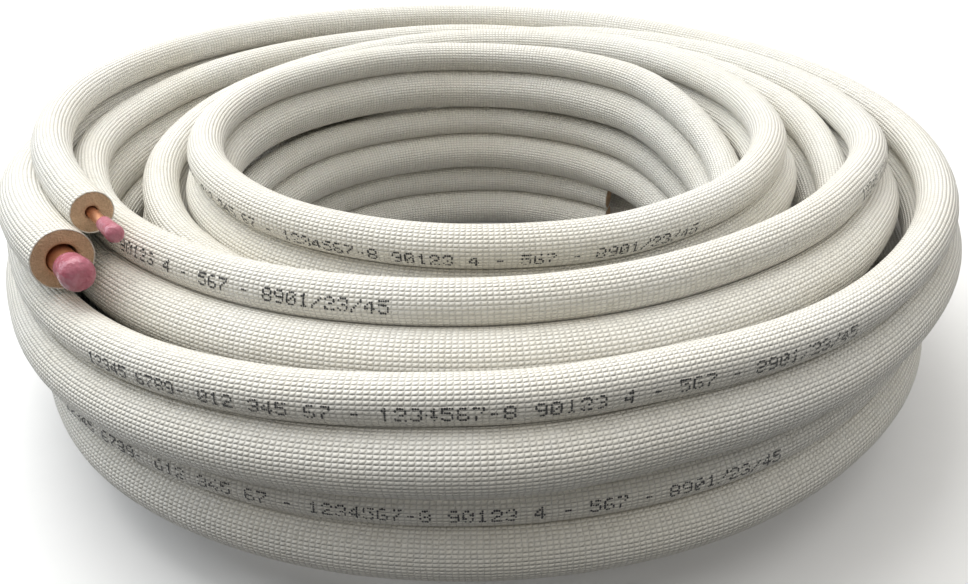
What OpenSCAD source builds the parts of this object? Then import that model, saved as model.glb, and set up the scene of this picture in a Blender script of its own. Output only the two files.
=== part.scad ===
// Insulated twin copper tube coil, lying flat, in millimetres.
// A small and a large copper tube, each in its own foam sleeve, are wound
// together as one pair: the small sleeve rides on the large one. The top turn
// of the innermost layer stands free: an open groove runs round behind it.
// The origin is on the floor, on the axis of the coil, and +Z is up.

/* [Copper tubes] */
// Outside diameter of the small copper tube
small_tube_od = 6.35; // [6:0.05:8]
// Wall of the small copper tube
small_tube_wall = 0.8; // [0.6:0.05:1.2]
// Outside diameter of the large copper tube
large_tube_od = 15.88; // [12:0.02:18]
// Wall of the large copper tube
large_tube_wall = 1; // [0.8:0.05:1.4]

/* [Foam sleeves] */
// Thickness of the foam round the small tube
small_foam_wall = 9; // [7:0.25:10]
// Thickness of the foam round the large tube
large_foam_wall = 9; // [7:0.25:10]
// Play of the small tube in its sleeve, measured across
small_play = 1.15; // [0.6:0.05:1.6]
// Play of the large tube in its sleeve, measured across
large_play = 2.12; // [0.6:0.02:2.4]
// Gap left under a tube that lies on the floor of its bore
seat_gap = 0.15; // [0.1:0.05:0.25]

/* [Winding] */
// Radius of the innermost layer, to the middle of its sleeves
inner_layer_r = 195; // [170:1:240]
// Pairs stacked in the innermost layer and in the last full one
levels = 3; // [3:1:4]
// Full layers, counted from the bore
full_layers = 3; // [2:1:4]
// Room between the large sleeves of two full layers
layer_slack = 1.5; // [0.5:0.25:4]
// Pairs stacked in the unfinished outermost layer
outer_levels = 2; // [2:1:2]
// Room between the large sleeves of the last full layer and the outermost one
outer_slack = 17; // [12:0.5:20]
// Lean of the last full layer's top pair, whose large sleeve has slid outwards
top_lean = 35; // [30:1:38]
// Height of the outermost layer's underside above the floor
outer_lift = 38; // [35:1:44]
// How far the top turn of the innermost layer has spread outwards
top_spread = 7; // [4:0.5:9]
// How far the top turn of the innermost layer stands off the turn below it
top_lift = 4; // [2:0.5:6]
// Depth by which two stacked sleeves press into each other
sleeve_press = 0.5; // [0.25:0.25:1.5]
// Depth by which the lowest sleeves are flattened by the floor
floor_press = 1; // [0.5:0.25:2]

/* [Inner end] */
// Bearing of the inner end's cut faces, counter-clockwise from +X
inner_end_bearing = 50; // [40:1:90]
// Angle left open before the inner end, where the next turn has climbed away
inner_end_gap = 30; // [20:1:60]
// Depth of the open bores at the inner end
inner_bore_depth = 30; // [20:1:36]
// Depth at which the tubes stand back behind the inner end's faces
inner_recess = 6; // [2:1:12]

/* [Outer end] */
// Bearing of the outer end's cut faces, counter-clockwise from +X
outer_end_bearing = 222; // [200:1:232]
// How far the large sleeve's end lies in from the outermost layer
outer_end_inset = 7; // [4:0.5:12]
// Depth by which the end of the pair beds into the outermost layer
outer_end_bed = 6.5; // [3:0.5:7]
// Lean of the pair at its end: the small sleeve lies this far up from level
outer_end_lean = 41; // [30:1:55]
// How far the small sleeve's end stands back behind the large one's
small_end_setback = 10; // [0:1:15]
// How much tighter than the coil the arc is on which the pair comes up
rise_drift = 26; // [20:1:34]
// Slope of the plane in which the pair comes up
rise_slope = 5; // [4.5:0.1:5.5]
// Angle over which the pair comes up
rise_sweep = 112; // [105:1:120]
// Depth of the open bores at the outer end
outer_bore_depth = 40; // [25:1:45]
// Bare large tube that shows past its sleeve, up to its tip
large_tube_out = 26; // [18:1:30]
// Bare small tube that shows past its sleeve, up to its tip
small_tube_out = 36; // [20:1:40]

/* [End caps] */
// Wall of the vinyl caps
cap_wall = 1.3; // [0.8:0.1:1.8]
// Play of a cap on its tube, measured across
cap_play = 0.2; // [0.1:0.05:0.4]
// Length of the large cap over its tube
large_cap_grip = 16; // [10:1:17]
// Length of the small cap over its tube
small_cap_grip = 18; // [10:1:19]
// Thickness of the closed tip of a cap
cap_tip = 3; // [1.5:0.25:4]
// Rounding of a cap's tip, as a share of its outside radius
cap_tip_round = 0.7; // [0.3:0.05:0.9]

/* [Hidden] */
$fn = 96;
skin_colour = "#ece7d8";
copper_colour = "#b8734a";
cap_colour = "#e58a97";

small_bore = small_tube_od + small_play;
large_bore = large_tube_od + large_play;
small_od = small_bore + 2 * small_foam_wall;
large_od = large_bore + 2 * large_foam_wall;
pair_step = (small_od + large_od) / 2 - sleeve_press;
level_step = 2 * pair_step;
first_z = large_od / 2 - floor_press;
last_full_r = inner_layer_r + (full_layers - 1) * (large_od + layer_slack);
outer_layer_r = last_full_r + large_od + outer_slack;
outer_first_z = outer_lift + large_od / 2;
top_z = first_z + (levels - 1) * level_step + pair_step;
outer_top_z = outer_first_z + (outer_levels - 1) * level_step + pair_step;
leaning_r = last_full_r + pair_step * sin(top_lean);
leaning_z = top_z - pair_step * cos(top_lean);
valley_z = outer_top_z - pair_step / 2;
mid_z = top_z - level_step;
spread_r = inner_layer_r + top_spread;
spread_z = top_z + top_lift;
web = small_od / 4;
outer_end_r = outer_layer_r - outer_end_inset;
outer_end_z = outer_top_z + (small_od + large_od) / 2 - outer_end_bed;
rise_r = outer_end_r - rise_drift;
rise_drop = rise_r * sin(rise_slope);
small_rise_r = rise_r - pair_step * cos(outer_end_lean);
small_rise_z = pair_step * sin(outer_end_lean);
small_end_turn = small_end_setback / small_rise_r * 180 / PI;
small_drop = small_play / 2 - seat_gap;
large_drop = large_play / 2 - seat_gap;
margin = 1;

function layer_r(layer) = inner_layer_r + layer * (large_od + layer_slack);

// Section of one pair: the large sleeve at height z and the small one on it
module pair_section(r, z) {
    translate([r, z]) circle(d = large_od);
    translate([r, z + pair_step]) circle(d = small_od);
}

// Section of a stack of upright pairs
module stack_section(r, z, count) {
    for (level = [0 : count - 1]) pair_section(r, z + level * level_step);
}

// Filled rectangle between two radii and two heights
module fill_section(r0, r1, z0, z1) {
    translate([r0, z0]) square([r1 - r0, z1 - z0]);
}

// Section of the coil that goes all the way round
module turned_section() {
    stack_section(layer_r(0), first_z + level_step, levels - 2);
    spread_section();
    if (full_layers > 2) for (layer = [1 : full_layers - 2]) stack_section(layer_r(layer), first_z, levels - 1);
    stack_section(last_full_r, first_z, levels - 1);
    leaning_section();
    stack_section(outer_layer_r, outer_first_z, outer_levels);
    fill_section(layer_r(0), last_full_r, first_z + level_step, mid_z);
    fill_section(layer_r(1), last_full_r, first_z, mid_z);
    fill_section(last_full_r - margin, outer_layer_r, outer_first_z, valley_z);
}

// Section of the innermost layer's top pair, with the nook under it filled
module spread_section() {
    pair_section(spread_r, spread_z - pair_step);
    polygon([
        [layer_r(0) - web, mid_z],
        [layer_r(0) + web, mid_z],
        [spread_r + web, spread_z - pair_step],
        [spread_r - web, spread_z - pair_step],
    ]);
}

// Section of the last full layer's top pair, which leans, with the nook under it filled
module leaning_section() {
    translate([leaning_r, leaning_z]) circle(d = large_od);
    translate([last_full_r, top_z]) circle(d = small_od);
    fill_section(leaning_r - web, leaning_r + web, valley_z - margin, leaning_z);
}

// Section of the lowest inner pair, which stops at the inner end
module inner_run_section() {
    pair_section(layer_r(0), first_z);
    fill_section(layer_r(0), layer_r(1), first_z, first_z + level_step + pair_step);
}

// Places its children at the inner end's face: +Z runs into the sleeve
module at_inner_end(z) {
    rotate(inner_end_bearing) translate([layer_r(0), 0, z]) rotate([-90, 0, 0]) children();
}

// Places its children in the tipped plane of the arc on which the pair comes up
module on_rise() {
    rotate(outer_end_bearing)
        translate([outer_end_r - rise_r * cos(rise_slope), 0, outer_end_z - rise_drop])
            rotate([0, -rise_slope, 0]) children();
}

// Places its children at an outer end's face: +Z runs out of the sleeve
module at_outer_end(is_small) {
    on_rise()
        rotate(is_small ? -small_end_turn : 0)
            translate([is_small ? small_rise_r : rise_r, 0, is_small ? small_rise_z : 0])
                rotate([-90, 0, 0]) children();
}

// One sleeve of the outer end, on the arc that comes up to its cut face
module outer_run(is_small, od) {
    on_rise()
        rotate(-rise_sweep)
            rotate_extrude(angle = rise_sweep - (is_small ? small_end_turn : 0))
                translate([is_small ? small_rise_r : rise_r, is_small ? small_rise_z : 0]) circle(d = od);
}

// Bore that opens at an outer end's face
module outer_bore(is_small, d) {
    at_outer_end(is_small)
        translate([0, 0, -outer_bore_depth]) cylinder(d = d, h = outer_bore_depth + margin);
}

// Bore that opens at the inner end's face
module inner_bore(z, d) {
    at_inner_end(z)
        translate([0, 0, -margin]) cylinder(d = d, h = inner_bore_depth + margin);
}

module insulated_coil() {
    color(skin_colour)
        difference() {
            union() {
                rotate_extrude() turned_section();
                rotate(inner_end_bearing) rotate_extrude(angle = 360 - inner_end_gap) inner_run_section();
                outer_run(false, large_od);
                outer_run(true, small_od);
            }
            translate([0, 0, -large_od]) cylinder(r = outer_layer_r + large_od, h = large_od);
            outer_bore(false, large_bore);
            outer_bore(true, small_bore);
            inner_bore(first_z, large_bore);
            inner_bore(first_z + pair_step, small_bore);
        }
}

// Plain tube of a given length along +Z
module tube(od, wall, length) {
    difference() {
        cylinder(d = od, h = length);
        translate([0, 0, -margin]) cylinder(d = od - 2 * wall, h = length + 2 * margin);
    }
}

// Both visible ends of one copper tube, each lying on the floor of its bore
module tube_ends(is_small, od, wall, drop, z, out) {
    at_outer_end(is_small) translate([0, drop, -outer_bore_depth]) tube(od, wall, outer_bore_depth + out);
    at_inner_end(z) translate([0, drop, inner_recess]) tube(od, wall, inner_bore_depth - inner_recess);
}

module large_copper_tube() {
    color(copper_colour)
        tube_ends(false, large_tube_od, large_tube_wall, large_drop, first_z, large_tube_out);
}

module small_copper_tube() {
    color(copper_colour)
        tube_ends(true, small_tube_od, small_tube_wall, small_drop, first_z + pair_step, small_tube_out);
}

// Moulded cap with a rounded tip, pushed over the end of a tube
module end_cap(tube_od, grip) {
    inner_r = (tube_od + cap_play) / 2;
    outer_r = inner_r + cap_wall;
    length = grip + cap_tip;
    tip_round = cap_tip_round * outer_r;
    rotate_extrude()
        difference() {
            intersection() {
                union() {
                    square([outer_r, length - tip_round]);
                    square([outer_r - tip_round, length]);
                    translate([outer_r - tip_round, length - tip_round]) circle(r = tip_round);
                }
                square([outer_r, length]);
            }
            translate([0, -margin]) square([inner_r, grip + margin]);
        }
}

module large_end_cap() {
    color(cap_colour)
        at_outer_end(false)
            translate([0, large_drop, large_tube_out - large_cap_grip])
                end_cap(large_tube_od, large_cap_grip);
}

module small_end_cap() {
    color(cap_colour)
        at_outer_end(true)
            translate([0, small_drop, small_tube_out - small_cap_grip])
                end_cap(small_tube_od, small_cap_grip);
}

insulated_coil();
large_copper_tube();
small_copper_tube();
large_end_cap();
small_end_cap();
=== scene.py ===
"""Looks of a coil of insulated twin copper tube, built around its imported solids."""
import logging
import math
from dataclasses import dataclass, field
from enum import Enum
from functools import cached_property
from typing import Any

import bpy
import numpy as np
from bpy.types import Curve, Material, Mesh, Node, NodeSocket, NodeTree, Object
from mathutils import Matrix, Vector


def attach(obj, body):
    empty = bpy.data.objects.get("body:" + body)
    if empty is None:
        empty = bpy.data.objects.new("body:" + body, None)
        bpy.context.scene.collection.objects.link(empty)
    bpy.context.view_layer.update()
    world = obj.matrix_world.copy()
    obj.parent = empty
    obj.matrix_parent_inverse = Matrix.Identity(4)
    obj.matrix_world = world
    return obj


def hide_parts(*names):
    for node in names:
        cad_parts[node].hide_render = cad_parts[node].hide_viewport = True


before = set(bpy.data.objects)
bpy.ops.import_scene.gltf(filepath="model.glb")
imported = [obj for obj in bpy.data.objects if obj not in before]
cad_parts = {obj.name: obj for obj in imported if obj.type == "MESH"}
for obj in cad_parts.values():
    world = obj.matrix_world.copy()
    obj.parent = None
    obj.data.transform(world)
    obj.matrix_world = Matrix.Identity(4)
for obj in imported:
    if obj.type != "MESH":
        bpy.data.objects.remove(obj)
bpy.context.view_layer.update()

LOG = logging.getLogger("tube_coil")
MM = 0.001
BODY = "root"
FULL_TURN = 360.0
SEAM = 1e-5
DOT_CORNERS = 6
MIX_INPUTS = (0, 6, 7)
MIX_RESULT = 2
Array = np.ndarray
Pair = tuple[float, float]
Triple = tuple[float, float, float]
Colour = tuple[float, float, float, float]
Colours = tuple[Colour, Colour]
Face = tuple[int, ...]
Shape = tuple[Array, list[Face]]


class SleeveKind(Enum):
    """The two foam sleeves that are wound together as one pair."""

    SMALL = "small"
    LARGE = "large"


class RunEnd(Enum):
    """The two ends of the winding."""

    INNER = "inner"
    OUTER = "outer"


class Slot(Enum):
    """Material slots of the record."""

    SKIN = "sleeve_skin"
    CAP = "cap_vinyl"


@dataclass(frozen=True)
class SleeveSize:
    """Radius of one sleeve and its bore in mm, and beads and flats round its girth."""

    radius: float
    bore: float
    rows: int
    sides: int


SIZES: dict[SleeveKind, SleeveSize] = {
    SleeveKind.SMALL: SleeveSize(radius=12.75, bore=3.75, rows=33, sides=36),
    SleeveKind.LARGE: SleeveSize(radius=18.0, bore=9.0, rows=46, sides=42),
}


def smooth_track(knots: Array, values: Array, at: Array) -> Array:
    """Run a cubic through knots without overshoot, level at both ends.

    Args:
        knots: Rising places of the knots.
        values: Value at each knot.
        at: Places to read.

    Returns:
        The value at each place.
    """
    step = np.diff(knots)
    slope = np.diff(values) / step
    tangent = np.zeros(len(values))
    before, after = slope[:-1], slope[1:]
    same = before * after > 0
    near = (2 * step[1:] + step[:-1])[same]
    far = (step[1:] + 2 * step[:-1])[same]
    tangent[1:-1][same] = (near + far) / (near / before[same] + far / after[same])
    cell = np.clip(np.searchsorted(knots, at, side="right") - 1, 0, len(step) - 1)
    t = np.clip((at - knots[cell]) / step[cell], 0.0, 1.0)
    rise = t * t * (3 - 2 * t)
    lead = t * (1 - t) ** 2 * step[cell] * tangent[cell]
    tail = t * t * (t - 1) * step[cell] * tangent[cell + 1]
    return values[cell] * (1 - rise) + values[cell + 1] * rise + lead + tail


@dataclass(frozen=True)
class OuterEnd:
    """Where the solids have the outer end of the pair, in mm and degrees."""

    bearing: float = 222.0
    radius: float = 316.0
    height: float = 171.0
    lean: float = 41.0
    drift: float = 26.0
    slope: float = 5.0
    setback: float = 10.0
    pair_step: float = 30.25
    drops: Pair = (0.425, 0.91)

    def frame(self, kind: SleeveKind) -> Matrix:
        """Give the frame of one sleeve's cut face.

        Args:
            kind: The sleeve.

        Returns:
            A matrix in mm whose Z runs out of the sleeve and whose Y runs down.
        """
        small = kind is SleeveKind.SMALL
        lean = math.radians(self.lean)
        rise = self.radius - self.drift
        slope = math.radians(self.slope)
        arc = rise - self.pair_step * math.cos(lean) if small else rise
        lift = self.pair_step * math.sin(lean) if small else 0.0
        turn = -self.setback / arc if small else 0.0
        foot = (self.radius - rise * math.cos(slope), 0, self.height - rise * math.sin(slope))
        return (
            Matrix.Rotation(math.radians(self.bearing), 4, "Z")
            @ Matrix.Translation(foot)
            @ Matrix.Rotation(-slope, 4, "Y")
            @ Matrix.Rotation(turn, 4, "Z")
            @ Matrix.Translation((arc, 0, lift))
            @ Matrix.Rotation(-math.pi / 2, 4, "X")
        )

    def drop(self, kind: SleeveKind) -> float:
        """Tell how far a tube lies below the middle of its bore."""
        return self.drops[0] if kind is SleeveKind.SMALL else self.drops[1]

    def turn_short_of_end(self, kind: SleeveKind) -> float:
        """Tell the angle by which one sleeve stops before the large one, in degrees."""
        face = self.frame(kind).to_translation()
        return self.bearing - math.degrees(math.atan2(face.y, face.x)) % FULL_TURN


@dataclass
class Winding:
    """The way of the pair: places of the small sleeve, in mm and degrees.

    Each place is the angle wound so far (0 in front, 90 on the right), the radius and the
    height of the small sleeve, and the lean by which the large one swings out from under it.
    A pressed sleeve keeps at least the thinnest share of its radius.
    """

    pair_step: float = 30.25
    ring_step: float = 8.0
    fine_steps: int = 20000
    thinnest: float = 0.35
    wobble: float = 0.5
    wobble_fade: float = 25.0
    wave_count: int = 3
    wave_spans: Pair = (25.0, 70.0)
    seed: int = 11
    start_turn: float = 140.0
    start_slant: float = 20.0
    slant_fade: float = 12.0
    end_turn: float = 3912.0
    end: OuterEnd = field(default_factory=OuterEnd)
    places: tuple[tuple[float, float, float, float], ...] = (
        (140, 195, 47.25, 0), (250, 194, 47.5, 0), (360, 193, 48, 0), (405, 193, 49, 0),
        (455, 193, 74, 0), (500, 193, 104, 0), (540, 193, 109, 0), (720, 193, 109, 0),
        (765, 193, 114, 0), (815, 193, 139, 0), (860, 194, 168, 0), (900, 196, 171, 0),
        (990, 202, 175, 0), (1080, 206, 176, 0), (1135, 208, 176, 4), (1170, 217, 174, 14),
        (1220, 233, 176, 6), (1260, 238, 173, 0), (1310, 241, 161, 0), (1350, 240, 151, 0),
        (1380, 236, 146, 0), (1410, 233, 140, 0), (1450, 232, 122, 0), (1490, 232, 109, 0),
        (1620, 232, 109, 0), (1670, 232, 80, 0), (1720, 232, 48, 0), (1800, 232, 48, 0),
        (1940, 232, 48, 0), (1985, 250, 48, 0), (2035, 270, 48, 0), (2160, 270, 48, 0),
        (2250, 270, 48, 0), (2300, 270, 75, 0), (2345, 270, 109, 0), (2400, 274, 109, 0),
        (2440, 281, 109, 0), (2480, 279, 109, 0), (2520, 270, 109, 0), (2560, 270, 118, 0),
        (2600, 264, 148, 0), (2630, 266, 164, 0), (2690, 275, 168, 0), (2750, 288, 166, 0),
        (2780, 293, 162, 0), (2812, 280, 165, 20), (2843, 268, 168, 32), (2880, 262, 173, 32),
        (2905, 261, 176, 30), (2936, 267, 178, 26), (2967, 286, 174, 10), (2998, 293, 172, 6),
        (3029, 297, 168, 10), (3060, 300, 156, 4), (3100, 303, 122, 0), (3130, 305, 95, -4),
        (3155, 308, 84, -8), (3180, 323, 87, -14), (3200, 327, 89, -6), (3220, 321, 87, 0),
        (3240, 317, 88, 3), (3260, 316, 90, 5), (3330, 318, 97, 2), (3420, 327, 110, 0),
        (3460, 338, 115, 0), (3490, 340, 124, 0), (3515, 335, 131, 3), (3540, 324, 135, 6),
        (3560, 323, 140, 10), (3580, 326, 151, 12), (3600, 322, 157, 20), (3620, 316, 157, 12),
        (3690, 326, 166, 5), (3780, 320, 178, 0), (3835, 316, 186, 3), (3870, 308, 191, 18),
        (3890, 299, 190.5, 40), (3903, 293, 189, 52), (3912, 291.5, 188.8, 54),
    )

    def __post_init__(self) -> None:
        """Draw the phases of the slight unevenness of the hand-laid turns."""
        rng = np.random.default_rng(self.seed)
        self.phases = rng.uniform(0, math.tau, (2, self.wave_count))
        self.waves = rng.uniform(*self.wave_spans, (2, self.wave_count))

    def unevenness(self, turn: Array, axis: int) -> Array:
        """Give the small stray of the pair in radius (axis 0) or height (axis 1), in mm."""
        waves = zip(self.waves[axis], self.phases[axis])
        stray = sum(np.sin(math.tau * turn / span + phase) for span, phase in waves)
        inside = np.minimum(turn - self.start_turn, self.end_turn - turn) / self.wobble_fade
        return self.wobble * stray / self.wave_count * np.clip(inside, 0, 1)

    def section(self, kind: SleeveKind, turn: Array) -> tuple[Array, Array]:
        """Give the radius and height of one sleeve's middle.

        Args:
            kind: The sleeve.
            turn: Angle wound so far, in degrees.

        Returns:
            Radius and height in mm.
        """
        table = np.array(self.places, float)
        radius, height, lean = (smooth_track(table[:, 0], table[:, k], turn) for k in (1, 2, 3))
        radius = radius + self.unevenness(turn, 0)
        height = height + self.unevenness(turn, 1)
        if kind is SleeveKind.LARGE:
            lean = np.radians(lean)
            radius = radius + self.pair_step * np.sin(lean)
            height = height - self.pair_step * np.cos(lean)
        return radius, height

    def points(self, kind: SleeveKind, turn: Array) -> Array:
        """Give the middle of one sleeve in mm at each turn angle."""
        radius, height = self.section(kind, turn)
        return polar(turn, radius, height)

    def stop_turn(self, kind: SleeveKind) -> float:
        """Tell the turn angle at which one sleeve is cut."""
        return self.end_turn - self.end.turn_short_of_end(kind)

    def even_turns(self, kind: SleeveKind) -> tuple[Array, Array]:
        """Split one sleeve's way into even steps: turn angles and lengths run so far in mm."""
        fine = np.linspace(self.start_turn, self.stop_turn(kind), self.fine_steps)
        gaps = np.linalg.norm(np.diff(self.points(kind, fine), axis=0), axis=1)
        run = np.concatenate(([0.0], np.cumsum(gaps)))
        even = np.linspace(0.0, run[-1], int(run[-1] / self.ring_step) + 1)
        return np.interp(even, run, fine), even

    def press(self, kind: SleeveKind, points: Array, turn: Array) -> Array:
        """Flatten a sleeve's surface where it lies on the floor or on other turns.

        Args:
            kind: The sleeve that the points belong to.
            points: Points of its surface in mm.
            turn: Angle wound so far at each point, in degrees.

        Returns:
            The points after pressing.
        """
        bearing = np.degrees(np.arctan2(points[:, 0], -points[:, 1]))
        turn = turn + (bearing - turn + FULL_TURN / 2) % FULL_TURN - FULL_TURN / 2
        radius, height = self.section(kind, turn)
        across = np.hypot(points[:, 0], points[:, 1]) - radius
        up = points[:, 2] - height
        own = SIZES[kind].radius
        most = int((self.end_turn - self.start_turn) / FULL_TURN) + 1
        for laps in range(-most, most + 1):
            other_turn = turn + FULL_TURN * laps
            there = (other_turn >= self.start_turn) & (other_turn <= self.end_turn)
            if not there.any():
                continue
            for other in SleeveKind:
                if laps == 0 and other is kind:
                    continue
                other_radius, other_height = self.section(other, other_turn)
                dx, dz = other_radius - radius, other_height - height
                gap = np.maximum(np.hypot(dx, dz), 1.0)
                reach = SIZES[other].radius
                face = (gap**2 + own**2 - reach**2) / (2 * gap)
                face = np.maximum(face, self.thinnest * own)
                over = (across * dx + up * dz) / gap - face
                push = np.where(there & (gap < own + reach), np.maximum(over, 0.0), 0.0)
                across = across - push * dx / gap
                up = up - push * dz / gap
        near_start = np.clip(1 - (turn - self.start_turn) / self.slant_fade, 0, 1)
        shear = math.tan(math.radians(self.start_slant)) * near_start * across / radius
        return polar(turn + np.degrees(shear), radius + across, np.maximum(height + up, 0.0))


def polar(turn: Array, radius: Array, height: Array) -> Array:
    """Turn angle, radius and height into points; 0 degrees is in front and 90 on the right."""
    a = np.radians(turn)
    return np.stack([radius * np.sin(a), -radius * np.cos(a), height], axis=-1)


class TreeMaker:
    """Adds and links the nodes of one node tree."""

    def __init__(self, tree: NodeTree) -> None:
        """Keep the tree to work on."""
        self.tree = tree

    @classmethod
    def start(
        cls, name: str, kind: str, inputs: dict[str, str], outputs: dict[str, str]
    ) -> "TreeMaker":
        """Start a new tree of a kind, with the type of each socket given by its name."""
        tree = bpy.data.node_groups.new(name, kind)
        for way, sockets in (("INPUT", inputs), ("OUTPUT", outputs)):
            for label, socket in sockets.items():
                tree.interface.new_socket(label, in_out=way, socket_type=f"NodeSocket{socket}")
        return cls(tree)

    def feed(self, node: Node, inputs: dict[Any, Any]) -> Node:
        """Link sockets to a node's inputs or set values on them, and return the node."""
        for key, value in inputs.items():
            if isinstance(value, NodeSocket):
                self.tree.links.new(value, node.inputs[key])
            else:
                node.inputs[key].default_value = value
        return node

    def add(self, kind: str, inputs: dict[Any, Any] | None = None, **settings: Any) -> Node:
        """Add one node with its settings, and feed its inputs by name or place."""
        node = self.tree.nodes.new(kind)
        for name, value in settings.items():
            setattr(node, name, value)
        return self.feed(node, inputs or {})

    def math(self, operation: str, first: Any, second: Any = 0.0, third: Any = 0.0) -> NodeSocket:
        """Add one sum and return its result."""
        inputs = {0: first, 1: second, 2: third}
        return self.add("ShaderNodeMath", inputs, operation=operation).outputs[0]

    def vector(self, operation: str, inputs: dict[Any, Any]) -> NodeSocket:
        """Add one sum of vectors and return its vector."""
        return self.add("ShaderNodeVectorMath", inputs, operation=operation).outputs[0]

    def pair(self, first: NodeSocket, second: NodeSocket) -> NodeSocket:
        """Join two values into a flat vector."""
        return self.add("ShaderNodeCombineXYZ", {"X": first, "Y": second}).outputs[0]

    def mix(self, share: Any, first: Any, second: Any) -> NodeSocket:
        """Mix two colours and return the result."""
        inputs = dict(zip(MIX_INPUTS, (share, first, second)))
        return self.add("ShaderNodeMix", inputs, data_type="RGBA").outputs[MIX_RESULT]

    def ramp(
        self, value: Any, low: float, high: float, start: float = 0.0, end: float = 1.0
    ) -> NodeSocket:
        """Map a value smoothly from one range to another and return the result."""
        inputs = {"Value": value, "From Min": low, "From Max": high, "To Min": start, "To Max": end}
        return self.add("ShaderNodeMapRange", inputs, interpolation_type="SMOOTHSTEP").outputs[0]

    def place(self) -> NodeSocket:
        """Return the object's own coordinates."""
        return self.add("ShaderNodeTexCoord").outputs["Object"]

    def noise(self, place: NodeSocket, scale: Any, detail: float) -> Any:
        """Add a noise and return its outputs."""
        inputs = {"Vector": place, "Scale": scale, "Detail": detail}
        return self.add("ShaderNodeTexNoise", inputs).outputs

    def bump(self, height: NodeSocket, distance: float, strength: float = 1.0) -> NodeSocket:
        """Turn a height into a bumped normal and return it."""
        inputs = {"Height": height, "Distance": distance, "Strength": strength}
        return self.add("ShaderNodeBump", inputs).outputs[0]

    def group(self, tree: NodeTree, inputs: dict[str, Any]) -> Any:
        """Place a shared group with its own values and return its outputs."""
        return self.add("ShaderNodeGroup", inputs, node_tree=tree).outputs

    def capture(self, geometry: NodeSocket, name: str, value: NodeSocket) -> Any:
        """Keep a value on the points of a geometry and return both as outputs."""
        node = self.add("GeometryNodeCaptureAttribute", domain="POINT")
        node.capture_items.new("FLOAT", name)
        return self.feed(node, {"Geometry": geometry, name: value}).outputs

    def put_out(self, geometry: NodeSocket, material: NodeSocket) -> None:
        """Put out a geometry as a plain mesh with its material."""
        real = self.add("GeometryNodeRealizeInstances", {"Geometry": geometry}).outputs[0]
        inputs = {"Geometry": real, "Material": material}
        dressed = self.add("GeometryNodeSetMaterial", inputs).outputs[0]
        self.add("NodeGroupOutput", {"Geometry": dressed})


@dataclass(frozen=True)
class GroupLibrary:
    """Shader groups that several finishes share."""

    stray_scale: float = 0.35
    stray_detail: float = 1.0
    smallest_bead: float = 0.7
    groove_rise: float = 0.45
    slow_detail: float = 3.0
    fine_detail: float = 2.0
    fine_share: float = 0.3
    tone_band: Pair = (0.3, 0.7)
    speck_band: Pair = (0.62, 0.72)

    @cached_property
    def bead_relief(self) -> NodeTree:
        """Rounded square beads in rows, as embossed into the skin.

        Returns:
            A group that takes a grid vector and gives the height and the grooves.
        """
        inputs = {"Grid": "Vector", "Squareness": "Float", "Stray": "Float", "Slant": "Float"}
        outputs = {"Height": "Float", "Groove": "Float"}
        make = TreeMaker.start("bead_relief", "ShaderNodeTree", inputs, outputs)
        given = make.add("NodeGroupInput").outputs
        noise = make.noise(given["Grid"], self.stray_scale, self.stray_detail)
        stray = make.vector("SUBTRACT", {0: noise["Color"], 1: (0.5, 0.5, 0.5)})
        shift = make.vector("SCALE", {0: stray, "Scale": given["Stray"]})
        grid = make.vector("ADD", {0: given["Grid"], 1: shift})
        axes = make.add("ShaderNodeSeparateXYZ", {0: grid}).outputs
        across = make.math("SUBTRACT", make.math("FRACT", axes["Y"]), 0.5)
        along = make.math("MULTIPLY_ADD", across, given["Slant"], axes["X"])
        walls = []
        for place in (make.math("SUBTRACT", make.math("FRACT", along), 0.5), across):
            edge = make.math("MULTIPLY", make.math("ABSOLUTE", place), 2.0)
            edge = make.math("POWER", edge, given["Squareness"])
            walls.append(make.math("SUBTRACT", 1.0, edge))
        cell = make.pair(make.math("FLOOR", along), make.math("FLOOR", axes["Y"]))
        chance = make.add("ShaderNodeTexWhiteNoise", {"Vector": cell}, noise_dimensions="2D")
        least = self.smallest_bead
        size = make.math("MULTIPLY_ADD", chance.outputs["Value"], 1 - least, least)
        bead = make.math("MULTIPLY", make.math("MULTIPLY", *walls), size)
        # Groove mask: where the film gets painted shade in its colour, and a rougher finish.
        painted_groove_shade = make.ramp(bead, 0.0, self.groove_rise, 1.0, 0.0)
        make.add("NodeGroupOutput", {"Height": bead, "Groove": painted_groove_shade})
        return make.tree

    @cached_property
    def drift(self) -> NodeTree:
        """Slow blotches of tone with finer grain in them.

        Returns:
            A group that takes coarse and fine scales and gives tone and specks from 0 to 1.
        """
        inputs = {"Coarse": "Float", "Fine": "Float"}
        outputs = {"Tone": "Float", "Specks": "Float"}
        make = TreeMaker.start("tone_drift", "ShaderNodeTree", inputs, outputs)
        given = make.add("NodeGroupInput").outputs
        place = make.place()
        slow = make.noise(place, given["Coarse"], self.slow_detail)[0]
        fine = make.noise(place, given["Fine"], self.fine_detail)[0]
        tone = make.math("MULTIPLY", slow, 1 - self.fine_share)
        tone = make.math("MULTIPLY_ADD", fine, self.fine_share, tone)
        specks = make.ramp(fine, *self.speck_band)
        make.add("NodeGroupOutput", {"Tone": make.ramp(tone, *self.tone_band), "Specks": specks})
        return make.tree


GROUPS = GroupLibrary()


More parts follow.
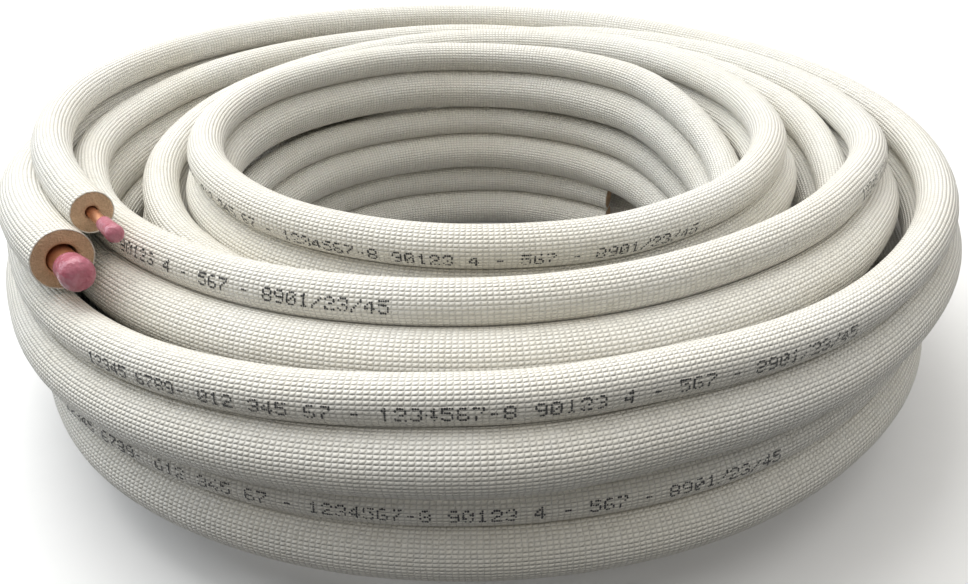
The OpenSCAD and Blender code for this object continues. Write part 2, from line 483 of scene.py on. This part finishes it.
@dataclass(frozen=True)
class Finish:
    """A procedural finish of two colours that drift into each other.

    The scales are those of slow blotches and of the grain in them. A high tone shows the
    share of the second colour and adds the rise to the roughness.
    """

    name: str
    scales: Pair
    colours: Colours
    share: float = 1.0
    rough: float = 0.5
    rough_rise: float = 0.0
    gloss: float = 0.5
    metal: float = 0.0

    def material(self) -> Material:
        """Build the material."""
        material = bpy.data.materials.new(self.name)
        material.use_nodes = True
        shader = next(n for n in material.node_tree.nodes if n.type == "BSDF_PRINCIPLED")
        make = TreeMaker(material.node_tree)
        tone = make.group(GROUPS.drift, dict(zip(("Coarse", "Fine"), self.scales)))
        make.feed(shader, {"Specular IOR Level": self.gloss, "Metallic": self.metal})
        make.feed(shader, self.sockets(make, tone))
        return material

    def sockets(self, make: TreeMaker, tone: Any) -> dict[str, Any]:
        """Work out what the shader is given.

        Args:
            make: Maker of the material's nodes.
            tone: Outputs of the drift, Tone and Specks.

        Returns:
            Sockets for what varies and values for what doesn't, by the shader's input.
        """
        share = make.math("MULTIPLY", tone["Tone"], self.share)
        rough: Any = self.rough
        if self.rough_rise:
            rough = make.math("MULTIPLY_ADD", tone["Tone"], self.rough_rise, self.rough)
        return {"Base Color": make.mix(share, *self.colours), "Roughness": rough}


@dataclass(frozen=True)
class EmbossedFilm(Finish):
    """White film skin with embossed beads, painted shade in the grooves between them and soft
    soiling.
    """

    scales: Pair = (9.0, 160.0)
    colours: Colours = ((0.97, 0.953, 0.895, 1), (0.955, 0.92, 0.825, 1))
    rough: float = 0.45
    rough_rise: float = 0.2
    gloss: float = 0.35
    # Painted shade: a dark grey and its share, mixed into the colour in the grooves between beads
    # to stand in for the shade that falls there.
    painted_groove_shade: Colour = (0.30, 0.285, 0.26, 1)
    painted_groove_shade_share: float = 0.28
    soil: Colour = (0.30, 0.29, 0.27, 1)
    soil_share: float = 0.08
    squareness: float = 2.2
    stray: float = 0.25
    slant: float = 0.15
    relief: float = 0.0011

    def sockets(self, make: TreeMaker, tone: Any) -> dict[str, Any]:
        """Bead the film, paint shade into its grooves and soil it."""
        grid = make.add("ShaderNodeUVMap", uv_map="UVMap").outputs[0]
        shape = {"Squareness": self.squareness, "Stray": self.stray, "Slant": self.slant}
        beads = make.group(GROUPS.bead_relief, {"Grid": grid, **shape})
        colour = make.mix(tone["Tone"], *self.colours)
        # Painted shade: the groove mask darkens the film's colour where shade falls between the
        # beads.
        shade = make.math("MULTIPLY", beads["Groove"], self.painted_groove_shade_share)
        colour = make.mix(shade, colour, self.painted_groove_shade)
        dirt = make.math("MULTIPLY", tone["Specks"], self.soil_share)
        return {
            "Base Color": make.mix(dirt, colour, self.soil),
            "Roughness": make.math("MULTIPLY_ADD", beads["Groove"], self.rough_rise, self.rough),
            "Normal": make.bump(beads["Height"], self.relief),
        }


@dataclass(frozen=True)
class CutFoam(Finish):
    """Tan-brown foam as a knife leaves it, with fine open cells."""

    name: str = "cut_foam"
    scales: Pair = (120.0, 700.0)
    colours: Colours = ((0.52, 0.35, 0.22, 1), (0.78, 0.56, 0.37, 1))
    share: float = 0.5
    rough: float = 0.9
    gloss: float = 0.15
    cell_scale: float = 900.0
    cell_share: float = 0.6
    cell_depth: float = 0.0005
    cell_strength: float = 0.8

    def sockets(self, make: TreeMaker, tone: Any) -> dict[str, Any]:
        """Shade and dent the foam by its cells."""
        inputs = {"Vector": make.place(), "Scale": self.cell_scale}
        cells = make.add("ShaderNodeTexVoronoi", inputs).outputs["Distance"]
        share = make.math("MULTIPLY", tone["Tone"], self.share)
        share = make.math("MULTIPLY_ADD", cells, self.cell_share, share)
        return {
            "Base Color": make.mix(share, *self.colours),
            "Normal": make.bump(cells, self.cell_depth, self.cell_strength),
            "Roughness": self.rough,
        }


@dataclass(frozen=True)
class CapVinyl(Finish):
    """Glossy pink dipped vinyl, lumpy and redder in places."""

    scales: Pair = (70.0, 500.0)
    colours: Colours = ((0.54, 0.20, 0.26, 1), (0.42, 0.10, 0.14, 1))
    rough: float = 0.08
    rough_rise: float = 0.1
    lump_scale: float = 330.0
    lump_detail: float = 2.0
    lump: float = 0.0009

    def sockets(self, make: TreeMaker, tone: Any) -> dict[str, Any]:
        """Add lumps to the drift of colour."""
        lumps = make.noise(make.place(), self.lump_scale, self.lump_detail)[0]
        return {**super().sockets(make, tone), "Normal": make.bump(lumps, self.lump)}


DRAWN_COPPER = Finish(
    "drawn_copper", (60.0, 900.0), ((0.85, 0.46, 0.28, 1), (0.52, 0.25, 0.14, 1)),
    share=0.8, rough=0.25, rough_rise=0.25, metal=1.0,
)
PRINT_INK = Finish(
    "print_ink", (40.0, 800.0), ((0.012, 0.012, 0.014, 1), (0.07, 0.07, 0.07, 1)), rough=0.7
)
PALE_FLOOR = Finish(
    "pale_floor", (1.5, 40.0), ((0.93, 0.93, 0.93, 1), (0.91, 0.91, 0.91, 1)), rough=0.9, gloss=0.1
)


def link_piece(name: str, mesh: Mesh) -> Object:
    """Put a finished mesh into the scene under a plain name."""
    mesh.name = name
    piece = bpy.data.objects.new(name, mesh)
    bpy.context.scene.collection.objects.link(piece)
    return piece


def shaped_piece(name: str, points: Array, faces: list[Face], material: Material) -> Object:
    """Make a smooth piece from corners in mm and the corner numbers of its faces."""
    mesh = bpy.data.meshes.new(name)
    mesh.from_pydata((points * MM).tolist(), [], faces)
    mesh.validate()
    mesh.shade_smooth()
    mesh.materials.append(material)
    return link_piece(name, mesh)


def lathe(rings: list[Array], tip: Array | None = None) -> Shape:
    """Join rings with the same number of points into a skin.

    Args:
        rings: The rings in order.
        tip: Point that closes the last ring, if any.

    Returns:
        Points and faces.
    """
    n = len(rings[0])
    faces: list[Face] = []
    for base in range(0, (len(rings) - 1) * n, n):
        for j in range(n):
            k = (j + 1) % n
            faces.append((base + j, base + k, base + n + k, base + n + j))
    points = np.concatenate(rings)
    if tip is not None:
        last = len(points) - n
        faces += [(last + j, last + (j + 1) % n, len(points)) for j in range(n)]
        points = np.concatenate([points, tip[None]])
    return points, faces


def dress(piece: Object, nodes: tuple[str, ...] = ()) -> None:
    """Tie a finished piece to the frame and hide the solids it replaces."""
    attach(piece, BODY)
    if nodes:
        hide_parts(*nodes)
    LOG.info("%s: %d faces", piece.name, len(piece.data.polygons))


def realized(tree: NodeTree, host: Object, values: dict[str, Any]) -> Mesh:
    """Run a Geometry Nodes tree once and take the plain mesh.

    Args:
        tree: The tree.
        host: The object that the tree works on; it is removed afterwards.
        values: The tree's named inputs.

    Returns:
        The realized mesh.
    """
    bpy.context.scene.collection.objects.link(host)
    modifier = host.modifiers.new(tree.name, "NODES")
    modifier.node_group = tree
    for item in tree.interface.items_tree:
        if item.item_type == "SOCKET" and item.in_out == "INPUT" and item.name in values:
            modifier[item.identifier] = values[item.name]
    depsgraph = bpy.context.evaluated_depsgraph_get()
    mesh = bpy.data.meshes.new_from_object(host.evaluated_get(depsgraph))
    data = host.data
    bpy.data.objects.remove(host)
    store = bpy.data.curves if isinstance(data, Curve) else bpy.data.meshes
    store.remove(data)
    return mesh


def sleeve_tree() -> NodeTree:
    """Sweep a round skin along the host curve, with its bead grid as a UV map.

    Returns:
        The tree, with inputs Radius, Sides, Pitch, Rows and Skin.
    """
    inputs = {"Geometry": "Geometry", "Radius": "Float", "Sides": "Int"}
    inputs |= {"Pitch": "Float", "Rows": "Float", "Skin": "Material"}
    make = TreeMaker.start("sleeve_sweep", "GeometryNodeTree", inputs, {"Geometry": "Geometry"})
    given = make.add("NodeGroupInput").outputs
    upright = make.add("GeometryNodeSetCurveNormal", {"Curve": given["Geometry"]}, mode="Z_UP")
    length = make.add("GeometryNodeSplineParameter").outputs["Length"]
    run = make.capture(upright.outputs[0], "Run", length)
    line = make.add("GeometryNodeCurvePrimitiveLine", {"End": (1.0, 0.0, 0.0)})
    count = make.math("ADD", given["Sides"], 1.0)
    split = make.add("GeometryNodeResampleCurve", {"Curve": line.outputs[0], "Count": count})
    share = make.add("GeometryNodeSplineParameter").outputs["Factor"]
    girth = make.capture(split.outputs[0], "Girth", share)
    angle = make.math("MULTIPLY", girth["Girth"], math.tau)
    side = make.math("MULTIPLY", make.math("COSINE", angle), given["Radius"])
    rise = make.math("MULTIPLY", make.math("SINE", angle), given["Radius"])
    ring = {"Geometry": girth["Geometry"], "Position": make.pair(side, rise)}
    rim = make.add("GeometryNodeSetPosition", ring).outputs[0]
    sweep = {"Curve": run["Geometry"], "Profile Curve": rim}
    tube = make.add("GeometryNodeCurveToMesh", sweep).outputs[0]
    beads = make.math("DIVIDE", run["Run"], given["Pitch"])
    grid = make.pair(beads, make.math("MULTIPLY", girth["Girth"], given["Rows"]))
    for name, value, kind, domain in (
        ("UVMap", grid, "FLOAT2", "CORNER"), ("run", run["Run"], "FLOAT", "POINT"),
    ):
        inputs = {"Geometry": tube, "Name": name, "Value": value}
        stored = make.add("GeometryNodeStoreNamedAttribute", inputs, data_type=kind, domain=domain)
        tube = stored.outputs[0]
    closed = make.add("GeometryNodeMergeByDistance", {"Geometry": tube, "Distance": SEAM})
    soft = make.add("GeometryNodeSetShadeSmooth", {"Geometry": closed.outputs[0]})
    make.put_out(soft.outputs[0], given["Skin"])
    return make.tree


@dataclass(frozen=True)
class Rim:
    """Rim of a cut end in mm: its points, its middle and the way out of the sleeve."""

    points: Array
    middle: Array
    out: Array

    @property
    def away(self) -> Array:
        """Ways from the middle to the points."""
        return self.points - self.middle

    @property
    def reach(self) -> Array:
        """Distances of the points from the middle, as a column."""
        return np.linalg.norm(self.away, axis=1, keepdims=True)

    @property
    def unit(self) -> Array:
        """Ways from the middle to the points, one mm long."""
        return self.away / self.reach


@dataclass
class Sleeve:
    """One foam sleeve, swept along the winding and pressed against its neighbours."""

    kind: SleeveKind
    winding: Winding
    bead_pitch: float = 3.1

    @property
    def size(self) -> SleeveSize:
        """Section of this sleeve."""
        return SIZES[self.kind]

    def host_curve(self) -> Object:
        """Lay the middle line of the sleeve as one open curve."""
        turns, _ = self.winding.even_turns(self.kind)
        points = self.winding.points(self.kind, turns) * MM
        curve = bpy.data.curves.new(f"{self.kind.value}_line", "CURVE")
        curve.dimensions = "3D"
        spline = curve.splines.new("POLY")
        spline.points.add(len(points) - 1)
        flat = np.concatenate([points, np.ones((len(points), 1))], axis=1)
        spline.points.foreach_set("co", flat.ravel())
        return bpy.data.objects.new(curve.name, curve)

    def build(self, sweep: NodeTree, skin: Material) -> Object:
        """Sweep the skin and press it.

        Args:
            sweep: The tree that sweeps it.
            skin: Its material.

        Returns:
            The finished piece.
        """
        values = {
            "Radius": self.size.radius * MM,
            "Sides": self.size.sides,
            "Pitch": self.bead_pitch * MM,
            "Rows": float(self.size.rows),
            "Skin": skin,
        }
        mesh = realized(sweep, self.host_curve(), values)
        count = len(mesh.vertices)
        points = np.zeros(count * 3)
        mesh.vertices.foreach_get("co", points)
        run = np.zeros(count, np.float32)
        mesh.attributes["run"].data.foreach_get("value", run)
        turns, lengths = self.winding.even_turns(self.kind)
        turn = np.interp(run / MM, lengths, turns)
        pressed = self.winding.press(self.kind, points.reshape(-1, 3) / MM, turn)
        mesh.vertices.foreach_set("co", (pressed * MM).ravel())
        mesh.attributes.remove(mesh.attributes["run"])
        mesh.update()
        return link_piece(f"{self.kind.value}_sleeve_skin", mesh)

    def rim(self, end: RunEnd, count: int) -> Rim:
        """Give the pressed rim of one cut end.

        Args:
            end: Which end.
            count: Points round the rim.

        Returns:
            The rim.
        """
        sides = self.size.sides
        turns, _ = self.winding.even_turns(self.kind)
        near = turns[:2] if end is RunEnd.INNER else turns[-2:][::-1]
        middle, inside = self.winding.points(self.kind, near)
        out = (middle - inside) / np.linalg.norm(middle - inside)
        radial = polar(near[:1], np.ones(1), np.zeros(1))[0]
        side = radial - out * (radial @ out)
        side = side / np.linalg.norm(side)
        up = np.cross(out, side)
        corner = np.linspace(0, math.tau, sides, endpoint=False)[:, None]
        ring = middle + self.size.radius * (np.cos(corner) * side + np.sin(corner) * up)
        ring = self.winding.press(self.kind, ring, np.full(sides, near[0]))
        at = np.linspace(0, sides, count, endpoint=False)
        closed = np.concatenate([ring, ring[:1]]).T
        fine = np.stack([np.interp(at, np.arange(sides + 1), line) for line in closed], axis=1)
        return Rim(fine, middle, out)


@dataclass
class CutEnd:
    """Foam face, bore and ragged skin edge at one cut end of a sleeve, in mm.

    Each ring of the face is its share of the way from the bore to the rim, its height
    and its roughness.
    """

    sleeve: Sleeve
    end: RunEnd
    depth: float
    count: int = 96
    seed: int = 5
    waves: tuple[int, ...] = (2, 3, 5, 9, 14, 23)
    wave_heights: Pair = (0.3, 1.0)
    fine_from: int = 10
    face_rings: tuple[Triple, ...] = (
        (0.975, -0.6, 0.1), (0.94, 0.0, 0.2), (0.85, 0.15, 0.25), (0.75, 0.2, 0.3),
        (0.65, 0.2, 0.3), (0.5, 0.15, 0.3), (0.3, 0.1, 0.3), (0.12, 0.0, 0.2), (0.0, -0.5, 0.1),
    )
    face_fine: float = 0.8
    bore_depths: tuple[float, ...] = (2.0, 6.0, 14.0, 26.0)
    bore_rough: float = 0.02
    bore_fine: float = 0.4
    skin: float = 0.55
    proud: float = 0.45
    proud_fine: float = 1.0
    curl: float = 0.2
    curl_fine: float = 0.6
    tuck: float = 0.1
    foot_in: float = 0.35
    foot_depth: float = 0.9

    def build(self, foam: Material, skin: Material) -> tuple[Object, Object]:
        """Build the foam and the edge of the skin, each in its material."""
        rim = self.sleeve.rim(self.end, self.count)
        rng = np.random.default_rng(self.seed + len(self.end.value) + int(self.sleeve.size.radius))
        name = f"{self.sleeve.kind.value}_{self.end.value}"
        face = shaped_piece(f"{name}_foam_face", *self.foam_skin(rim, rng), foam)
        edge = shaped_piece(f"{name}_skin_edge", *self.edge_skin(rim, rng), skin)
        return face, edge

    def ragged(self, rng: np.random.Generator, share: float) -> Array:
        """Draw a column of uneven values round the rim, with a share of the finest waves."""
        angle = np.linspace(0, math.tau, self.count, endpoint=False)
        line = np.zeros(self.count)
        for wave in self.waves:
            weight = 1.0 if wave < self.fine_from else share
            height = weight * rng.uniform(*self.wave_heights)
            line += height * np.sin(wave * angle + rng.uniform(0, math.tau))
        return (line / np.abs(line).max())[:, None]

    def foam_skin(self, rim: Rim, rng: np.random.Generator) -> Shape:
        """Shape the cut face of the foam and the bore behind it."""
        bore = self.sleeve.size.bore
        hole = bore / rim.reach
        rings = []
        for share, lift, rough in self.face_rings:
            spread = hole + (1 - hole) * share
            height = lift + rough * self.ragged(rng, self.face_fine)
            rings.append(rim.middle + rim.away * spread + rim.out * height)
        for depth in (*self.bore_depths, self.depth):
            uneven = 1 + self.bore_rough * self.ragged(rng, self.bore_fine)
            rings.append(rim.middle + rim.unit * bore * uneven - rim.out * depth)
        return lathe(rings, rim.middle - rim.out * self.depth)

    def edge_skin(self, rim: Rim, rng: np.random.Generator) -> Shape:
        """Shape the torn edge of the skin that stands a little proud of the foam."""
        proud = self.proud * (1 + self.ragged(rng, self.proud_fine))
        curl = self.curl * self.ragged(rng, self.curl_fine)
        tip = rim.points + rim.out * proud + rim.unit * curl
        inner = tip - rim.unit * self.skin - rim.out * self.tuck
        foot = rim.points - rim.unit * (self.skin + self.foot_in) - rim.out * self.foot_depth
        return lathe([rim.points, tip, inner, foot])


@dataclass
class EndCap:
    """Dipped vinyl cap over the end of one copper tube, in mm.

    Each point of the lip is its share of the wall, its stray and its length. Each dent is
    its number of lobes, its share of the radius and its twist along the cap.
    """

    kind: SleeveKind
    end: OuterEnd
    tube: float
    out: float
    grip: float
    wall: float = 1.3
    play: float = 0.2
    tip: float = 3.0
    tip_rise: float = 0.1
    crown: float = 0.08
    crown_shares: tuple[float, ...] = (0.7, 0.35)
    bulge: float = 0.7
    bulge_shares: tuple[float, ...] = (0.35, 0.5, 0.65, 0.8)
    rounding: float = 0.8
    rounding_steps: int = 12
    mouth_share: float = 0.6
    lip: tuple[Triple, ...] = (
        (0.0, 0.0, 1.0), (0.0, 0.1, 0.3), (0.35, 0.0, 0.0), (0.6, 0.0, 0.0),
        (0.85, 0.0, 0.4), (1.0, -0.05, 1.2), (1.0, 0.0, 2.2),
    )
    dents: tuple[tuple[int, float, float], ...] = ((2, 0.012, 0.2), (3, 0.008, -0.3))
    count: int = 64
    seed: int = 3

    def profile(self) -> list[Pair]:
        """Give radius and length of the section, from inside the mouth to the tip."""
        inner = (self.tube + self.play) / 2
        outer = inner + self.wall
        length = self.grip + self.tip
        wide = outer + self.bulge
        bend = self.rounding * wide
        line = [(inner, self.grip * self.mouth_share)]
        line += [(inner + share * self.wall + stray, along) for share, stray, along in self.lip]
        lip_end = line[-1][1]
        for share in self.bulge_shares:
            swell = math.sin(math.pi / 2 * share) ** 2
            along = share * (length - bend) + lip_end * (1 - share)
            line.append((outer + self.bulge * swell, along))
        for angle in np.linspace(0, math.pi / 2, self.rounding_steps + 1):
            radius = wide - bend + bend * math.cos(angle)
            line.append((radius, length - bend + bend * math.sin(angle)))
        for share in self.crown_shares:
            line.append(((wide - bend) * share, length + self.crown * (1 - share)))
        return line

    def build(self, material: Material) -> Object:
        """Turn the section about the tube's line and dent it slightly.

        Args:
            material: The cap's finish.

        Returns:
            The piece.
        """
        rng = np.random.default_rng(self.seed + int(self.tube))
        phases = rng.uniform(0, math.tau, len(self.dents))
        angle = np.linspace(0, math.tau, self.count, endpoint=False)
        rings = []
        for radius, along in self.profile():
            reach = np.full_like(angle, radius)
            for (lobes, depth, twist), phase in zip(self.dents, phases):
                reach += radius * depth * np.sin(lobes * angle + phase + twist * along)
            height = np.full_like(angle, along)
            rings.append(np.stack([reach * np.cos(angle), reach * np.sin(angle), height], axis=1))
        points, faces = lathe(rings, np.array([0.0, 0.0, self.grip + self.tip + self.tip_rise]))
        shift = Matrix.Translation((0, self.end.drop(self.kind), self.out - self.grip))
        place = np.array(self.end.frame(self.kind) @ shift)
        placed = points @ place[:3, :3].T + place[:3, 3]
        return shaped_piece(f"{self.kind.value}_vinyl_cap", placed, faces, material)


GLYPHS: dict[str, str] = {
    "0": "01110 10001 10011 10101 11001 10001 01110",
    "1": "00100 01100 00100 00100 00100 00100 01110",
    "2": "01110 10001 00001 00110 01000 10000 11111",
    "3": "01110 10001 00001 00110 00001 10001 01110",
    "4": "00010 00110 01010 10010 11111 00010 00010",
    "5": "11111 10000 11110 00001 00001 10001 01110",
    "6": "01110 10000 10000 11110 10001 10001 01110",
    "7": "11111 00001 00010 00100 01000 01000 01000",
    "8": "01110 10001 10001 01110 10001 10001 01110",
    "9": "01110 10001 10001 01111 00001 00001 01110",
    "-": "00000 00000 00000 01110 00000 00000 00000",
    "/": "00001 00001 00010 00100 01000 10000 10000",
}


def dot_tree() -> NodeTree:
    """Set a small flat dot on each point of the host, square to its stored normal.

    Returns:
        The tree, with inputs Radius and Ink.
    """
    inputs = {"Geometry": "Geometry", "Radius": "Float", "Ink": "Material"}
    make = TreeMaker.start("ink_dots", "GeometryNodeTree", inputs, {"Geometry": "Geometry"})
    given = make.add("NodeGroupInput").outputs
    circle = {"Vertices": DOT_CORNERS, "Radius": given["Radius"]}
    dot = make.add("GeometryNodeMeshCircle", circle, fill_type="NGON").outputs[0]
    read = "GeometryNodeInputNamedAttribute"
    facing = make.add(read, {"Name": "facing"}, data_type="FLOAT_VECTOR").outputs[0]
    spread = make.add(read, {"Name": "spread"}, data_type="FLOAT").outputs[0]
    turn = make.add("FunctionNodeAlignRotationToVector", {"Vector": facing}, axis="Z").outputs[0]
    stamp = {"Points": given["Geometry"], "Instance": dot, "Rotation": turn, "Scale": spread}
    placed = make.add("GeometryNodeInstanceOnPoints", stamp).outputs[0]
    make.put_out(placed, given["Ink"])
    return make.tree


@dataclass
class PrintLine:
    """Dot-printed row of plain numbers that repeats along the small sleeve, in mm.

    Each end is the turn angle at which a row stops and its tilt from the outside of the
    sleeve. Fade is the share of dots that are missing: a draw for the row, and patches.
    """

    winding: Winding
    words: str = "12345 6789- 012 345 67 - 1234567-8 90123 4 - 567 - 8901/23/45"
    letter_step: float = 6.9
    dot_across: float = 1.12
    dot_up: float = 1.08
    dot_radius: float = 0.66
    dot_sizes: Pair = (0.75, 1.15)
    jitter: float = 0.06
    middle_row: int = 3
    lift: float = 0.12
    row_fade: Pair = (0.02, 0.10)
    patch_fade: float = 0.12
    patch_wave: float = 0.35
    ends: tuple[Pair, ...] = (
        (300, 4), (590, 4), (860, 4), (1117, -14), (1330, 4), (1620, 4), (1910, 4), (2150, 4),
        (2380, 4), (2620, 4), (2871, 16), (3022, 14), (3270, 4), (3460, 4), (3637, 2), (3840, 4),
    )
    seed: int = 21

    def dots(self) -> tuple[Array, Array, Array]:
        """Work out every dot of ink.

        Returns:
            Points in mm, the way each faces, and its size as a share.
        """
        rng = np.random.default_rng(self.seed)
        kind = SleeveKind.SMALL
        turns, lengths = self.winding.even_turns(kind)
        radius = SIZES[kind].radius
        runs, ups, tilts, sizes = [], [], [], []
        for end_turn, tilt in self.ends:
            stop = float(np.interp(end_turn, turns, lengths))
            fade = rng.uniform(*self.row_fade)
            for place, letter in enumerate(self.words):
                start = stop - (len(self.words) - place) * self.letter_step
                patch = 0.5 + 0.5 * math.sin(self.patch_wave * place + end_turn)
                missing = fade + self.patch_fade * patch
                for r, row in enumerate(GLYPHS.get(letter, "").split()):
                    for c, mark in enumerate(row):
                        if mark == "1" and rng.random() > missing and start > 0:
                            runs.append(start + c * self.dot_across + rng.normal(0, self.jitter))
                            height = (self.middle_row - r) * self.dot_up
                            ups.append(height + rng.normal(0, self.jitter))
                            tilts.append(tilt)
                            sizes.append(rng.uniform(*self.dot_sizes))
        turn = np.interp(np.array(runs), lengths, turns)
        angle = np.radians(np.array(tilts)) + np.array(ups) / radius
        side, rise = np.cos(angle), np.sin(angle)
        middle, height = self.winding.section(kind, turn)
        points = polar(turn, middle + radius * side, height + radius * rise)
        facing = polar(turn, side, rise)
        pressed = self.winding.press(kind, points, turn)
        return pressed + facing * self.lift, facing, np.array(sizes)

    def build(self, stamp: NodeTree, ink: Material) -> Object:
        """Lay all dots as one piece.

        Args:
            stamp: The tree that sets them.
            ink: Their material.

        Returns:
            The piece.
        """
        points, facing, sizes = self.dots()
        host = bpy.data.meshes.new("print_points")
        host.from_pydata((points * MM).tolist(), [], [])
        ways = host.attributes.new("facing", "FLOAT_VECTOR", "POINT")
        ways.data.foreach_set("vector", facing.astype(np.float32).ravel())
        spreads = host.attributes.new("spread", "FLOAT", "POINT")
        spreads.data.foreach_set("value", sizes.astype(np.float32))
        values = {"Radius": self.dot_radius * MM, "Ink": ink}
        mesh = realized(stamp, bpy.data.objects.new("print_points", host), values)
        for name in ("facing", "spread"):
            if name in mesh.attributes:
                mesh.attributes.remove(mesh.attributes[name])
        return link_piece("small_sleeve_print", mesh)


@dataclass
class Studio:
    """Pale floor, soft lights and the camera at the photograph's angle, in metres.

    Each lamp is its name, its place, the point it faces, its side, its watts and its colour.
    """

    camera_place: Triple = (0.003, -0.659, 0.412)
    pitch: float = 30.4
    focal_px: float = 900.0
    width_px: float = 968.0
    sensor: float = 36.0
    near: float = 0.01
    floor_half: float = 6.0
    sky_pole: Triple = (0.0, 0.36, 0.93)
    sky_band: Pair = (-0.1, 0.8)
    sky_low: Colour = (0.10, 0.10, 0.10, 1)
    sky_high: Colour = (1.0, 0.985, 0.95, 1)
    sky_strength: float = 1.1
    lamps: tuple[tuple[str, Triple, Triple, float, float, Triple], ...] = (
        ("top_soft", (-0.7, 0.5, 2.0), (0.0, 0.0, 0.0), 1.7, 30.0, (1.0, 1.0, 0.99)),
        ("left_soft", (-2.0, 0.3, 1.2), (0.0, 0.0, 0.1), 1.4, 12.0, (0.78, 0.89, 1.0)),
    )

    def floor(self) -> None:
        """Lay the pale floor, which sends no light back up."""
        h = self.floor_half
        mesh = bpy.data.meshes.new("floor")
        mesh.from_pydata([(-h, -h, 0), (h, -h, 0), (h, h, 0), (-h, h, 0)], [], [(0, 1, 2, 3)])
        mesh.materials.append(PALE_FLOOR.material())
        floor = link_piece("floor", mesh)
        floor.visible_diffuse = False

    def hang_lamps(self) -> None:
        """Hang the soft square lamps."""
        for name, place, aim, side, power, colour in self.lamps:
            data = bpy.data.lights.new(name, "AREA")
            data.shape = "SQUARE"
            data.size = side
            data.energy = power
            data.color = colour
            lamp = bpy.data.objects.new(name, data)
            lamp.location = place
            lamp.rotation_mode = "QUATERNION"
            lamp.rotation_quaternion = (Vector(aim) - Vector(place)).to_track_quat("-Z", "Y")
            bpy.context.scene.collection.objects.link(lamp)

    def sky(self) -> None:
        """Spread a room over the coil that is brightest above and behind."""
        world = bpy.data.worlds.new("pale_room")
        world.use_nodes = True
        make = TreeMaker(world.node_tree)
        back = next(n for n in world.node_tree.nodes if n.type == "BACKGROUND")
        way = make.add("ShaderNodeTexCoord").outputs["Generated"]
        inputs = {0: way, 1: self.sky_pole}
        height = make.add("ShaderNodeVectorMath", inputs, operation="DOT_PRODUCT").outputs["Value"]
        colour = make.mix(make.ramp(height, *self.sky_band), self.sky_low, self.sky_high)
        make.feed(back, {"Color": colour, "Strength": self.sky_strength})
        bpy.context.scene.world = world

    def camera(self) -> None:
        """Set up the camera."""
        data = bpy.data.cameras.new("camera")
        data.sensor_width = self.sensor
        data.lens = self.focal_px / self.width_px * self.sensor
        data.clip_start = self.near
        camera = bpy.data.objects.new("camera", data)
        camera.location = self.camera_place
        camera.rotation_euler = (math.radians(90 - self.pitch), 0, 0)
        bpy.context.scene.collection.objects.link(camera)
        bpy.context.scene.camera = camera

    def build(self) -> None:
        """Build the whole studio."""
        self.camera()
        self.floor()
        self.hang_lamps()
        self.sky()
        bpy.context.scene.view_settings.view_transform = "Standard"


def main() -> None:
    """Build every piece of the coil in order and report it."""
    logging.basicConfig(level=logging.INFO, format="%(name)s %(message)s")
    Studio().build()
    winding = Winding()
    sweep = sleeve_tree()
    foam = CutFoam().material()
    depths = {RunEnd.OUTER: 39.0, RunEnd.INNER: 29.0}
    for kind in SleeveKind:
        skin = EmbossedFilm(f"{kind.value}_film").material()
        sleeve = Sleeve(kind, winding)
        dress(sleeve.build(sweep, skin), ("insulated_coil",))
        for end in RunEnd:
            face, edge = CutEnd(sleeve, end, depths[end]).build(foam, skin)
            dress(face)
            dress(edge)
    copper = DRAWN_COPPER.material()
    for node in ("large_copper_tube", "small_copper_tube"):
        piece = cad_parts[node]
        piece.data.materials.clear()
        piece.data.materials.append(copper)
    outer = winding.end
    for cap, node in (
        (EndCap(SleeveKind.LARGE, outer, tube=15.88, out=26.0, grip=16.0), "large_end_cap"),
        (EndCap(SleeveKind.SMALL, outer, tube=6.35, out=36.0, grip=18.0), "small_end_cap"),
    ):
        dress(cap.build(CapVinyl(f"{cap.kind.value}_vinyl").material()), (node,))
    dress(PrintLine(winding).build(dot_tree(), PRINT_INK.material()))


if __name__ == "__main__":
    main()
